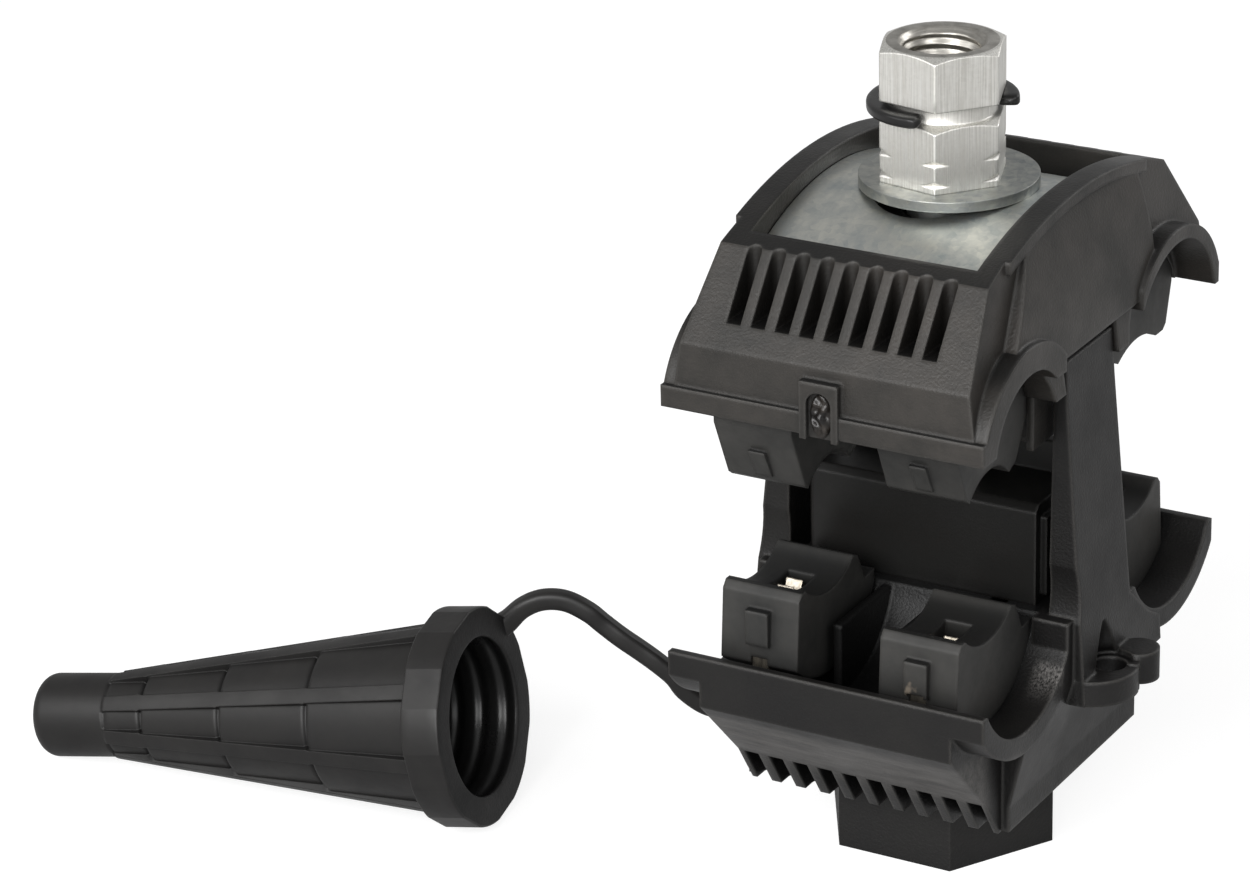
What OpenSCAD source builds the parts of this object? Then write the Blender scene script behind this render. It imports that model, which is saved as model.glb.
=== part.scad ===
// Insulation piercing connector with a tethered end cap, open as it is sold.
// Millimetres. X runs along the cables, the tap cable lies in front (-Y), the
// main cable behind (+Y), Z is up, and the bolt stands on the origin.

/* [Shells] */
// Width of both shells along the cables
shell_w = 31; // [30:0.5:33]
// Length of the cable lips along the cables
lip_w = 38.8; // [37.6:0.2:42]
// Distance of the front lips from the bolt
tap_reach = 29; // [28.6:0.2:31]
// Distance of the back lips from the bolt
main_reach = 31.4; // [31:0.2:34]
// Thickness of the shells at their lips
lip_t = 1; // [0.8:0.1:1.4]
// Width of the middle of both shells, where the end faces stand out
waist_w = 32.8; // [32:0.2:34]
// Slope of the ribbed faces above the horizontal
slope_deg = 53; // [50:1:56]

/* [Lower shell] */
// Height of the lower shell's underside above the table
base_z = 9.1; // [8:0.1:10]
// Half length of the underside, front to back
base_half = 17.1; // [16:0.1:18]
// Height of the lower lips above the table
lower_lip_z = 29; // [28.4:0.2:30.4]
// Radius of the half round cable troughs
trough_r = 11.8; // [11.6:0.1:12.2]
// Thickness of the trough spouts at each end
spout_t = 2.4; // [1.8:0.1:3]
// Depth of each column at its foot, front to back
column_d = 13; // [12:0.5:14]
// Twice the reach of each column's front edge at its top
column_top_d = 10.8; // [10:0.2:11.6]
// Number of slots under the front and back slopes
lower_slots = 10; // [6:1:11]
// Width of each lower slot
lower_slot_w = 1.9; // [1.4:0.1:2.1]
// Outer radius of the tether lugs
lug_r = 5.4; // [5:0.1:5.8]
// Height of the tether lugs
lug_h = 3; // [2.4:0.1:3.4]
// Radius of the hole in each tether lug
lug_hole_r = 1.9; // [1.8:0.1:2.1]

/* [Upper shell] */
// Height of the upper lips above the table when open
upper_lip_z = 58.5; // [58:0.2:60]
// Closing travel of the upper half
travel = 8; // [4:0.5:8]
// Height of the crown above the upper lips
crown_h = 21.1; // [20.7:0.1:22]
// Radius of the crown arch
arch_r = 62; // [58:1:70]
// Outer radius of the front cable arches
brow_r = 11.8; // [11.4:0.1:12.2]
// Thickness of the front cable arches
brow_t = 3.1; // [2.6:0.1:3.4]
// Outer radius of the back cable arches
main_brow_r = 12.4; // [12:0.1:12.8]
// Thickness of the back cable arches
main_brow_t = 1.6; // [1.4:0.1:2]
// Number of slots in the front and back slopes
upper_slots = 9; // [5:1:9]
// Width of each upper slot
upper_slot_w = 1.75; // [1.4:0.05:1.9]
// Thickness of the outer wall of the column pockets
pocket_wall = 0.7; // [0.6:0.05:0.8]

/* [Clamp] */
// Diameter of the clamp bolt
bolt_d = 8; // [7.6:0.1:8.2]
// Width across flats of the bolt's head
head_af = 13; // [12:0.5:14]
// Width across flats of the insulated cover of the bolt's head
cover_af = 24.4; // [23:0.2:25]
// Width across flats of the shear nut
nut_af = 13; // [12.6:0.2:14]
// Height of the nut's lower hexagon
nut_low_h = 7.4; // [6.6:0.1:8]
// Height of the nut's thin neck
nut_neck_h = 1.9; // [1.9:0.1:2.6]
// Height of the nut's upper hexagon
nut_top_h = 6; // [5:0.1:6.6]
// Radius of the nut's thin neck
nut_neck_r = 5.9; // [5.5:0.1:6.1]
// Thickness of the marker ring
ring_t = 1.3; // [1:0.05:1.3]
// Outer radius of the marker ring
ring_r = 8.4; // [8:0.1:9]
// Outer diameter of the flat washer
washer_d = 20; // [18:0.5:21]
// Thickness of the flat washer
washer_t = 1.2; // [1:0.1:1.6]
// Width of the pressure plate along the cables
plate_w = 27; // [25:0.2:27.4]
// Length of the pressure plate, front to back
plate_l = 38; // [36:0.2:38.2]
// Thickness of the pressure plate
plate_t = 2.5; // [2:0.1:3]

/* [Contacts and seals] */
// Width of each seal along the cables
seal_w = 9.5; // [8.5:0.1:9.8]
// Thickness of the piercing blades
blade_t = 2; // [1.6:0.1:2.4]
// How far the left contacts stand out more than the right ones
left_shift = 2; // [1:0.1:2.2]
// Width of the block around the bolt
block_w = 28; // [26:0.5:28.6]
// Depth of the block around the bolt
block_d = 10; // [9.4:0.2:10.4]
// Height of the block around the bolt
block_h = 12; // [10:0.2:13]

/* [End cap] */
// Length of the end cap
cap_len = 57.6; // [55:0.2:60]
// Radius of the end cap's flange
cap_flange_r = 12.8; // [12.4:0.1:13.4]
// Thickness of the end cap's flange
cap_flange_t = 4.7; // [4:0.1:5.4]
// Radius of the end cap at its flange
cap_root_r = 11.2; // [10.8:0.1:11.8]
// Radius of the end cap's round tip
cap_tip_r = 5; // [4.6:0.1:5.4]
// Radius of the end cap's mouth
cap_mouth_r = 9.2; // [8.6:0.1:9.4]
// Diameter of the tether
tether_d = 2.5; // [2.4:0.1:2.8]

/* [Hidden] */
$fn = 96;
eps = 0.02;
// Clearances: sliding columns, loose holes, the thread, and nested soft parts
slide_gap = 0.35;
hole_gap = 0.35;
thread_gap = 0.08;
nest_gap = 0.03;

half_w = shell_w / 2;
lip_half = lip_w / 2;
waist_half = waist_w / 2;

// The cable axes follow from the lips
axis_rise = 5.8;
trough_z = lower_lip_z + axis_rise;
lip_run = sqrt(trough_r * trough_r - axis_rise * axis_rise);
tap_y = -(tap_reach - lip_t - lip_run);
main_y = main_reach - lip_t - lip_run;
wall_z = lower_lip_z + 2.6;
fold_z = lower_lip_z - 6;
rib_z = base_z + 5;
lug_z = base_z + 12.1;
lug_x = half_w + 5.7;
lug_y = -0.6;
lug_run = [2, 0.6];
knob_run = [1.6, 4.4];
knob_r = 2.3;
niche_r = lug_hole_r + 1;
niche_h = 6;
trough_side = tap_y + 9.8;

// The column leans in towards its top and slides inside the upper shell
column_x = half_w + 0.8;
column_foot = 4.6;
column_lip = 4.1;
column_neck = 1.7;
column_step = 1.3;
column_tip = 0.7;
column_step_z = upper_lip_z + 3;
column_top = upper_lip_z + 6;
panel_x = column_x + 2.6;
panel_z = upper_lip_z + 4.7;
panel_rim_x = half_w + 1;
panel_rim_z = upper_lip_z + 17.9;
panel_set = 7.2;
panel_back = base_half - 1.8;
end_draft = 0.14;
panel_run = panel_x - panel_rim_x;
panel_rise = panel_rim_z - panel_z;
panel_r = (panel_rise * panel_rise + panel_run * panel_run) / (2 * panel_run);
rim_half = half_w + 1;
rim_h = 1.4;

arch_y = 1;
arch_z = upper_lip_z + crown_h - arch_r;
skirt_z = upper_lip_z + 7.5;
lip_band = 2.5;
brow_z = upper_lip_z - 2.2;
brow_foot = upper_lip_z + 3.7;
pocket_r = trough_r - 0.6;
pocket_z = upper_lip_z - 4.5;
pocket_top = upper_lip_z + 6.1;
upper_wall_z = wall_z + block_h + travel + slide_gap;
slot_pitch = 2.93;
slot_foot = upper_lip_z + 9.9;
slot_back = 20.9;

// The block reaches further back than forward and ends in a ledge
block_back = block_d / 2 + 1.9;
ledge_d = 2.3;
ledge_h = 3.6;

// The plate lies on an arched seat below the crown
plate_r = 40;
plate_top = upper_lip_z + crown_h - 1.9;
plate_axis = plate_top - plate_r;
plate_hole_r = 6.6;
plate_hole_run = 2.4;
washer_shift = [0.45, 0.65];
washer_hole_d = bolt_d + 2 * norm(washer_shift) + 0.24;
ring_lean = 2;
nut_z = plate_top + washer_t;
neck_z = nut_z + nut_low_h;
crest_z = neck_z + nut_neck_h;
nut_top = crest_z + nut_top_h;
head_h = 5.3;
head_z = 4;
cover_top = base_z + 5;
bolt_top = neck_z + 1.4;

// Seals and blades of one side share their middle plane
contact_x = half_w - 1 - seal_w / 2;
tooth_slot_w = 3.3;
tab_w = [2.8, 2];
bar_z = lower_lip_z - 2.6;
bar_h = 2.4;
web_h = wall_z - bar_z - left_shift - nest_gap;
tooth_z = lower_lip_z + 3;
horn_z = lower_lip_z + 6;
upper_bar_z = upper_lip_z + 2.6;
upper_web_z = upper_lip_z + 4.8;
upper_tooth_z = upper_lip_z - 4;
tap_horn_z = upper_lip_z - 7.6;
main_horn_z = upper_lip_z - 5.3;

// The cap lies on its flange and its tip, and the tether rises from its flange
cap_tip_len = 10;
cap_bore_len = 42;
cap_mouth_len = 12;
cap_tip_flat = 1.6;
cap_roll = -6;
cap_flat_r = cap_flange_r - 0.4;
cap_rest_r = cap_flange_r * cos(acos(cap_flat_r / cap_flange_r) - abs(cap_roll));
cap_tilt = atan((cap_rest_r - cap_tip_r) / (cap_len - cap_tip_flat - cap_flange_t));
cap_turn = 188.8;
cap_x = -46.2;
cap_y = -25.1;
cap_z = cap_rest_r * cos(cap_tilt) + cap_flange_t * sin(cap_tilt);
cap_steps = [18.7, 31, 42.2];
cap_step_h = 0.5;
cap_taper_len = cap_len - cap_tip_len;
cap_slope = (cap_root_r - cap_tip_r) / (cap_taper_len - cap_flange_t);
tether_route = [
    [-49, -14.9, 20.5], [-47.3, -14.1, 22.3], [-45.2, -13.1, 23.3], [-42.8, -12, 23.2],
    [-40.4, -11, 21.9], [-38.9, -10.1, 20.3], [-37, -9.4, 18.7], [-35, -8.4, 17],
    [-33.3, -7.7, 15.6], [-31.6, -6.8, 13.8], [-30.5, -6, 11.8], [-28.5, -4.7, 9.9],
    [-26.3, -3.4, 9.3], [-24.1, -2.2, 9.9], [-22.4, -1.3, 11.5], [-21.4, -0.7, 13.9],
    [-21.2, -0.6, 16.3], [-21.2, -0.6, 19], [-21.2, -0.6, 21.6], [-21.2, -0.6, 24.2]
];
tether_sides = 8;
tether_out = [0.65, 0.31, 0.69];

// An outline of (Y, Z) points run along X
module along_x(w, outline) {
    rotate([90, 0, 90]) linear_extrude(height = w, center = true) polygon(outline);
}

// An outline of (X, Z) points run along Y
module along_y(d, outline) {
    rotate([90, 0, 0]) linear_extrude(height = d, center = true) polygon(outline);
}

// A round bar along X
module rod_x(r, w, y, z) {
    translate([0, y, z]) rotate([0, 90, 0]) cylinder(r = r, h = w, center = true);
}

// A box between two corners
module block(a, b) {
    translate(a) cube(b - a);
}

module both_ends() {
    children();
    mirror([1, 0, 0]) children();
}

module hexagon(af, h) {
    cylinder(r = af / sqrt(3), h = h, $fn = 6);
}

// Slots in a row along X, each with a round inner end: vertical cuts as a mould leaves them
module slot_row(n, pitch, w, y_in, y_out, z0, z1) {
    side = sign(y_out);
    for (i = [0 : n - 1]) {
        x = (i - (n - 1) / 2) * pitch;
        translate([x, y_in + side * w / 2, z0]) cylinder(d = w, h = z1 - z0, $fn = 24);
        block([x - w / 2, min(y_in + side * w / 2, y_out), z0],
              [x + w / 2, max(y_in + side * w / 2, y_out), z1]);
    }
}

// Lower shell
module spout(y, y_lip, y_wall) {
    intersection() {
        rod_x(trough_r + spout_t, 2 * lip_half, y, trough_z);
        block([half_w - 1, min(y_lip, y_wall), trough_z - trough_r - spout_t - 1],
              [lip_half, max(y_lip, y_wall), lower_lip_z]);
    }
}

// The outer face of a column, and of the foot plate that spreads behind it
module column_face() {
    along_y(2 * main_reach, [
        [half_w - 1, lug_z], [column_x + column_foot, lug_z],
        [column_x + column_lip, lower_lip_z], [column_x + column_neck, upper_lip_z - 2.5],
        [column_x + column_step, column_step_z], [column_x + column_tip, column_step_z],
        [column_x + column_tip - 0.1, column_top], [column_x, column_top],
        [column_x, wall_z], [half_w - 1, wall_z]]);
}

module column() {
    foot = column_d / 2;
    top = column_top_d / 2;
    intersection() {
        column_face();
        along_x(4 * column_x, [
            [-foot, lug_z], [-foot, wall_z], [-top, column_step_z], [-top, column_top],
            [foot, column_top], [foot, lower_lip_z + 1],
            [main_y - 9, lower_lip_z - 3.2], [main_y - 6.2, lower_lip_z - 4.8], [main_y - 6.2, lug_z]]);
    }
}

// A flat clip beside the column's foot: a bent jaw, and a round knob behind its slit
module tether_lug() {
    translate([lug_x - lug_run[0], lug_y - lug_run[1], lug_z]) cylinder(r = lug_r, h = lug_h);
    translate([lug_x + knob_run[0], lug_y + knob_run[1], lug_z]) cylinder(r = knob_r, h = lug_h + 0.6);
}

// The leaning end face under the troughs
module end_face() {
    run = 2 * base_half - 0.9;
    translate([0, 0.35, 0]) along_y(run, [
        [half_w - 1, base_z + 3], [waist_half, base_z + 3], [waist_half + 2.2, lug_z],
        [lip_half, lug_z + 2.8], [lip_half, lower_lip_z], [half_w - 1, lower_lip_z]]);
}

module lower_body() {
    along_x(shell_w, [
        [-tap_reach, lower_lip_z], [-tap_reach, fold_z], [-base_half - 3.3, rib_z],
        [-base_half, base_z], [base_half, base_z], [base_half + 3.3, rib_z],
        [main_reach, fold_z], [main_reach, lower_lip_z]]);
    block([-half_w, tap_y + 6, lower_lip_z - 8], [half_w, main_y - 6, wall_z]);
    block([-waist_half, -base_half + 0.8, base_z], [waist_half, base_half - 0.1, lug_z + 1]);
    both_ends() {
        spout(tap_y, -tap_reach, -column_d / 2);
        spout(main_y, main_reach, column_d / 2);
        end_face();
        column();
        tether_lug();
    }
}

module trough_cut(y) {
    rod_x(trough_r, lip_w + 10, y, trough_z);
}

// A thin wall across a trough between the left and right contacts
module trough_wall(y, y0, y1) {
    intersection() {
        rod_x(trough_r + 0.5, shell_w, y, trough_z);
        block([contact_x - seal_w / 2 - 1.9, y0, base_z + 10],
              [contact_x - seal_w / 2 - 0.9, y1, wall_z - 0.4]);
    }
}

module lower_shell() {
    color("#2b2b2c") {
        difference() {
            lower_body();
            trough_cut(tap_y);
            trough_cut(main_y);
            translate([0, 0, base_z - 1]) cylinder(d = bolt_d + 2 * hole_gap, h = wall_z);
            translate([0, 0, base_z - 1]) hexagon(cover_af + 2 * nest_gap, cover_top - base_z + 1);
            slot_row(lower_slots, 3.1, lower_slot_w, -base_half + 2.6, -tap_reach, base_z - 1, rib_z - 0.2);
            slot_row(lower_slots, 3.1, lower_slot_w, base_half - 2.6, main_reach, base_z - 1, rib_z - 0.2);
            for (side = [-1, 1])
                block([side * contact_x - blade_t / 2 - nest_gap, tap_y + 2, bar_z],
                      [side * contact_x + blade_t / 2 + nest_gap, main_y - 2, wall_z + 1]);
            both_ends() {
                translate([lug_x, lug_y, lug_z - 1]) cylinder(r = lug_hole_r, h = lug_h + 2);
                translate([lug_x, lug_y, lug_z + lug_h]) cylinder(r1 = niche_r, r2 = 0.6, h = niche_h);
                translate([lug_x, lug_y, lug_z - 1]) rotate([0, 0, 14])
                    block([0, -0.25, 0], [lug_r + 1, 0.25, lug_h + 2]);
            }
        }
        both_ends() {
            trough_wall(tap_y, tap_y - 1, tap_y + 12.2);
            trough_wall(main_y, main_y - 12.2, main_y + 1);
            block([half_w - 0.5, trough_side, trough_z - trough_r + 2],
                  [lip_half, 1 - column_d / 2, wall_z]);
        }
    }
}

// The left contacts stand out of their shells more than the right ones
function lift(side) = side < 0 ? left_shift : 0;

// Upper shell
module brow(r, y, y_lip, y_foot) {
    intersection() {
        rod_x(r, 2 * lip_half, y, brow_z);
        union() {
            block([half_w - 0.6, min(y_lip, y), upper_lip_z],
                  [lip_half, max(y_lip, y), upper_lip_z + r]);
            block([half_w - 0.6, min(y, y_foot), brow_foot],
                  [lip_half, max(y, y_foot), upper_lip_z + r]);
        }
    }
}

// The open end below a cable arch
module brow_hollow(r, y) {
    translate([half_w - 1, y, brow_z]) rotate([0, 90, 0]) cylinder(r = r, h = lip_w);
}

function slope_y(reach, z) = reach - (z - skirt_z) / tan(slope_deg);

module upper_body() {
    roof = upper_lip_z + crown_h + 3;
    lean = end_draft * (crown_h + 3) - 0.5;
    intersection() {
        along_x(2 * shell_w, [
            [-tap_reach + 0.2, upper_lip_z], [-tap_reach + 0.5, skirt_z],
            [-slope_y(tap_reach - 0.5, roof), roof], [slope_y(main_reach - 1, roof), roof],
            [main_reach - 1, skirt_z], [main_reach - 0.4, upper_lip_z]]);
        along_y(3 * main_reach, [
            [-half_w - lean, upper_lip_z], [half_w + lean, upper_lip_z],
            [half_w - 0.5, roof], [-half_w + 0.5, roof]]);
        rod_x(arch_r, 2 * shell_w, arch_y, arch_z);
    }
    intersection() {
        along_x(4 * waist_w, [
            [panel_set - slope_y(tap_reach - 0.5, panel_z), panel_z],
            [panel_set - slope_y(tap_reach - 0.5, roof), roof], [panel_back, roof], [panel_back, panel_z]]);
        for_panel(panel_r);
        rod_x(arch_r - rim_h / 2, 2 * waist_w, arch_y, arch_z);
    }
    intersection() {
        block([-rim_half, -base_half, panel_rim_z - 3], [rim_half, base_half + 0.4, roof]);
        difference() {
            rod_x(arch_r, 2 * waist_w, arch_y, arch_z);
            rod_x(arch_r - rim_h, 3 * waist_w, arch_y, arch_z);
        }
    }
    both_ends() {
        brow(brow_r, tap_y, -tap_reach - 0.3, -column_d / 2 - 2.5);
        brow(main_brow_r, main_y, main_reach + 0.3, column_d / 2 + 4.3);
    }
    block([-lip_half, -tap_reach - 0.3, upper_lip_z], [lip_half, -tap_reach + 0.9, upper_lip_z + lip_band]);
    block([-lip_half, main_reach - 0.9, upper_lip_z], [lip_half, main_reach + 0.3, upper_lip_z + lip_band]);
    block([-half_w + 0.2, tap_y + 9, upper_wall_z], [half_w - 0.2, main_y - 9, skirt_z]);
    block([-2.3, -tap_reach - 0.6, upper_lip_z - 0.4], [2.3, -tap_reach + 1, upper_lip_z + 6.2]);
}

// The bulging end panels: two round faces about axes along Y
module for_panel(r) {
    intersection() {
        translate([panel_x - panel_r, 0, panel_z]) rotate([90, 0, 0])
            cylinder(r = r, h = 100, center = true);
        translate([panel_r - panel_x, 0, panel_z]) rotate([90, 0, 0])
            cylinder(r = r, h = 100, center = true);
    }
}

module seal_pocket(y) {
    intersection() {
        rod_x(pocket_r, 2 * (half_w - 1 + nest_gap), y, pocket_z);
        block([-half_w, y - 20, upper_lip_z - 12], [half_w, y + 20, pocket_top]);
    }
}

module column_pocket() {
    pocket_y = column_d / 2 + slide_gap;
    intersection() {
        block([column_x - slide_gap, -pocket_y, upper_wall_z - 1],
              [panel_x, pocket_y, column_top + travel + slide_gap]);
        for_panel(panel_r - pocket_wall);
    }
    block([column_x - slide_gap, -pocket_y, upper_wall_z - 1], [lip_half, pocket_y, panel_z - 1]);
}

module upper_shell() {
    color("#2b2b2c") difference() {
        upper_body();
        seal_pocket(tap_y);
        seal_pocket(main_y);
        both_ends() {
            brow_hollow(brow_r - brow_t, tap_y);
            brow_hollow(main_brow_r - main_brow_t, main_y);
            column_pocket();
        }
        translate([0, 0, upper_wall_z - 1]) cylinder(d = bolt_d + 4 * hole_gap, h = crown_h + 10);
        difference() {
            block([-plate_w / 2 - 0.1, -plate_l / 2 - 0.1, pocket_top],
                  [plate_w / 2 + 0.1, plate_l / 2 + 0.1, upper_lip_z + crown_h + 5]);
            rod_x(plate_r - plate_t, shell_w + 2, 0, plate_axis);
        }
        block([-block_w / 2 - slide_gap, block_back - ledge_d - slide_gap, upper_wall_z - 1],
              [block_w / 2 + slide_gap, block_back + slide_gap, upper_wall_z + ledge_h + slide_gap]);
        slot_row(upper_slots, slot_pitch, upper_slot_w, -slot_back, -tap_reach, slot_foot, plate_top + 5);
        slot_row(upper_slots, slot_pitch, upper_slot_w, slot_back + 1, main_reach, slot_foot, plate_top + 5);
        for (side = [-1, 1])
            block([side * contact_x - blade_t / 2 - nest_gap, tap_y + 2, upper_wall_z - 1],
                  [side * contact_x + blade_t / 2 + nest_gap, main_y - 2, upper_web_z - lift(side)]);
        block([-1.5, -tap_reach - 1, upper_lip_z - 1], [1.5, -tap_reach + 0.2, upper_lip_z + 3.6]);
        translate([0, -tap_reach + 0.2, upper_lip_z + 3.6]) rotate([90, 0, 0]) cylinder(r = 1.5, h = 2);
    }
}

// Clamp
module bolt_head_cover() {
    color("#262627") difference() {
        hexagon(cover_af, cover_top);
        translate([0, 0, head_z]) hexagon(head_af + 2 * nest_gap, head_h);
        translate([0, 0, head_z]) cylinder(d = bolt_d + 2 * nest_gap, h = cover_top);
    }
}

module clamp_bolt() {
    color("#b9b9b6") {
        translate([0, 0, head_z]) hexagon(head_af, head_h);
        translate([0, 0, head_z + head_h - 1]) cylinder(d = bolt_d, h = bolt_top - head_z - head_h);
        translate([0, 0, bolt_top - 1]) cylinder(d1 = bolt_d, d2 = bolt_d - 2, h = 1);
    }
}

module bolt_shroud() {
    color("#2a2a2b") difference() {
        union() {
            along_x(block_w, [
                [-block_d / 2, wall_z], [-block_d / 2, wall_z + block_h - 0.8],
                [-block_d / 2 + 0.8, wall_z + block_h], [block_back - ledge_d, wall_z + block_h],
                [block_back - ledge_d + 0.4, wall_z + block_h + ledge_h],
                [block_back - 0.4, wall_z + block_h + ledge_h], [block_back, wall_z + block_h],
                [block_back, wall_z]]);
            block([-block_w / 2 - 0.8, -block_d / 2 + 1.2, wall_z + 1],
                  [block_w / 2 + 0.8, block_d / 2 - 1.2, wall_z + block_h - 1.6]);
            for (z = [2.2, block_h - 4])
                block([-half_w - 0.3, -0.8, wall_z + z], [half_w + 0.3, 0.8, wall_z + z + 1.4]);
        }
        translate([0, 0, wall_z - 1]) cylinder(d = bolt_d + 2 * hole_gap, h = block_h + 2);
    }
}

module pressure_plate() {
    color("#c4c4bf") difference() {
        intersection() {
            block([-plate_w / 2, -plate_l / 2, plate_axis + 20], [plate_w / 2, plate_l / 2, plate_top + 1]);
            rod_x(plate_r, plate_w + 2, 0, plate_axis);
        }
        rod_x(plate_r - plate_t, plate_w + 4, 0, plate_axis);
        for (y = [-plate_hole_run, plate_hole_run])
            translate([0, y, plate_axis + 20]) cylinder(r = plate_hole_r, h = plate_r);
        block([-plate_hole_r, -plate_hole_run, plate_axis + 20],
              [plate_hole_r, plate_hole_run, plate_top + 5]);
    }
}

module flat_washer() {
    color("#c9c9c5") translate([washer_shift[0], washer_shift[1], plate_top]) difference() {
        cylinder(d = washer_d, h = washer_t);
        translate([0, 0, -1]) cylinder(d = washer_hole_d, h = washer_t + 2);
    }
}

// A hexagon whose corners are turned down at one face or both
module turned_hexagon(af, h, low, high) {
    r = af / sqrt(3);
    c = r - af / 2 + 0.1;
    intersection() {
        hexagon(af, h);
        union() {
            translate([0, 0, low ? c / 2 : 0]) cylinder(r = r + 0.01, h = h - (low ? c / 2 : 0) - (high ? c / 2 : 0));
            if (high) translate([0, 0, h - c / 2]) cylinder(r1 = r + 0.01, r2 = r - c, h = c / 2);
            if (low) cylinder(r1 = r - c, r2 = r + 0.01, h = c / 2);
        }
    }
}

module shear_nut() {
    color("#d4d4d2") difference() {
        rotate([0, 0, -10.4]) union() {
            translate([0, 0, nut_z]) turned_hexagon(nut_af, nut_low_h, false, true);
            translate([0, 0, neck_z - 1]) cylinder(r = nut_neck_r, h = nut_neck_h + 2);
            translate([0, 0, crest_z]) turned_hexagon(nut_af, nut_top_h, false, true);
        }
        translate([0, 0, nut_z - 1]) cylinder(d = bolt_d + 2 * thread_gap, h = nut_top);
        translate([0, 0, nut_top - 0.8]) cylinder(d1 = bolt_d, d2 = bolt_d + 1.8, h = 0.81);
    }
}

module marker_ring() {
    color("#232324") translate([0, 0, neck_z + nut_neck_h / 2])
        rotate(a = ring_lean, v = [0.51, -0.86, 0]) difference() {
            cylinder(r = ring_r, h = ring_t, center = true);
            cylinder(r = nut_neck_r + 2 * nest_gap, h = 2 * ring_t, center = true);
            rotate([0, 0, -33]) linear_extrude(height = 2 * ring_t, center = true)
                polygon([[0, 0], [20, -22.8], [20, 22.8]]);
        }
}

// Piercing blades: one plate on each side of the bolt, with teeth for both cables
function teeth(y, z, z_tip, dir) = [for (i = [0 : 5])
    [y + dir * (i - 2.5) * 1.05, i % 2 == 0 ? z_tip : z]];

module blade(side) {
    translate([side * contact_x, 0, 0]) children();
}

module lower_blade(side) {
    z = bar_z;
    tip = tooth_z + 1.5 * lift(side);
    front = tap_y - 1;
    back = main_y + 1;
    color("#b5aca0") blade(side) along_x(blade_t, concat(
        [[front - 6.6, z], [front - 6.6, z + bar_h], [front - 2.9, z + bar_h]],
        teeth(front, tip - 2, tip, 1),
        [[front + 3, z + web_h], [back - 3, z + web_h]],
        teeth(back, tip - 2, tip, 1),
        [[back + 2.9, z + bar_h], [back + 6.6, z + bar_h], [back + 6.6, z]]));
}

module upper_blade(side) {
    shift = -lift(side);
    top = upper_web_z + shift;
    bar = upper_bar_z + shift;
    front = tap_y - 1;
    back = main_y + 1;
    color("#b5aca0") blade(side) along_x(blade_t, concat(
        [[front - 5, bar], [front - 5, bar - bar_h], [front - 2.9, bar - bar_h]],
        teeth(front, bar - 3.4, upper_tooth_z + shift, 1),
        [[front + 3, bar - bar_h], [back - 3, bar - bar_h]],
        teeth(back, bar - 3.4, upper_tooth_z + shift, 1),
        [[back + 2.9, bar - bar_h], [back + 5, bar - bar_h], [back + 5, bar],
         [back - 7, bar], [back - 9, top], [front + 9, top], [front + 7, bar]]));
}

// Seals: soft blocks with a cable groove, nested in the round trough of their shell.
// "y" is the cable axis and "face" points from the bolt to the lip.
module lower_seal(side, y, face) {
    dz = lift(side);
    color("#333334") difference() {
        translate([0, 0, dz]) difference() {
            union() {
                intersection() {
                    rod_x(trough_r - nest_gap, shell_w, y, trough_z);
                    blade(side) along_x(seal_w, [
                        [y + face * 8.2, trough_z - trough_r], [y + face * 7.3, horn_z - 0.8],
                        [y + face * 6.6, horn_z], [y - face * 5, horn_z],
                        [y - face * 6.6, horn_z - 0.6], [y - face * 8.3, wall_z - 0.6],
                        [y - face * 10.6, wall_z - 0.4], [y - face * 10.6, trough_z - trough_r]]);
                }
                block([side * contact_x - tab_w[0] / 2, min(y + face * 7.4, y + face * 8.5), horn_z - 6.5],
                      [side * contact_x + tab_w[0] / 2, max(y + face * 7.4, y + face * 8.5), horn_z - 2.4]);
            }
            rod_x(8.7, shell_w + 2, y, horn_z + 6.5);
        }
        bar_cut(side, y - face * 14, y + face * 14, trough_z - trough_r - 1, bar_z + bar_h + nest_gap);
        tooth_cut(side, y, face, bar_z + bar_h - 0.5, horn_z + dz + 1);
        blade(side) block([-blade_t / 2 - nest_gap, min(y - face * 2, y - face * 14), bar_z - 6],
            [blade_t / 2 + nest_gap, max(y - face * 2, y - face * 14), bar_z + web_h + nest_gap]);
    }
}

// The groove that a blade's bar lies in
module bar_cut(side, y0, y1, z0, z1) {
    blade(side) block([-blade_t / 2 - nest_gap, min(y0, y1), z0], [blade_t / 2 + nest_gap, max(y0, y1), z1]);
}

// The slot that a blade's teeth come through
module tooth_cut(side, y, face, z0, z1) {
    blade(side) block([-tooth_slot_w / 2, min(y - face * 2.2, y + face * 4.4), z0],
                      [tooth_slot_w / 2, max(y - face * 2.2, y + face * 4.4), z1]);
}

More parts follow.
